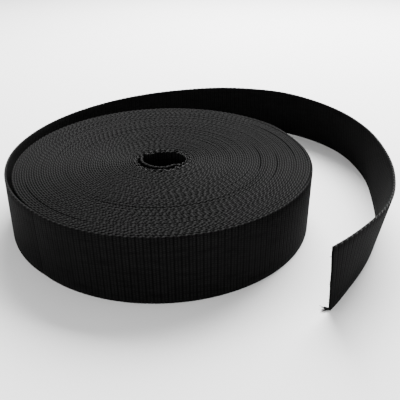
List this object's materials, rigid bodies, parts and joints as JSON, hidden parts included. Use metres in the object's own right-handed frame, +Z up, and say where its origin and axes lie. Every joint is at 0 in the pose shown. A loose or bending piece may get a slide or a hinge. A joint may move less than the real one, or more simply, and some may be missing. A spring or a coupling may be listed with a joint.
{
  "type": "roll of webbing",
  "caption": "Roll of heavy ribbed webbing lying flat, wound about an open oval eye, with its outer end standing loose on its edge around it.",
  "frame": {"origin": "on the surface that the roll lies on, at the middle of the footprint of the roll and its loose outer end", "axes": "+Z up, along the axis of the roll and across the width of the webbing; +X to the right and +Y away, seen from the side where the cut end stands in front"},
  "size_m": [0.301, 0.311, 0.05],
  "materials": {
    "wound_edges": "matt woven edges of black webbing, turn on turn",
    "webbing_face": "matt black webbing with fine ribs across its width"
  },
  "bodies": {
    "root": {"wound_roll": "wound_edges", "loose_end": "webbing_face", "inner_end": "webbing_face"}
  },
  "joints": []
}
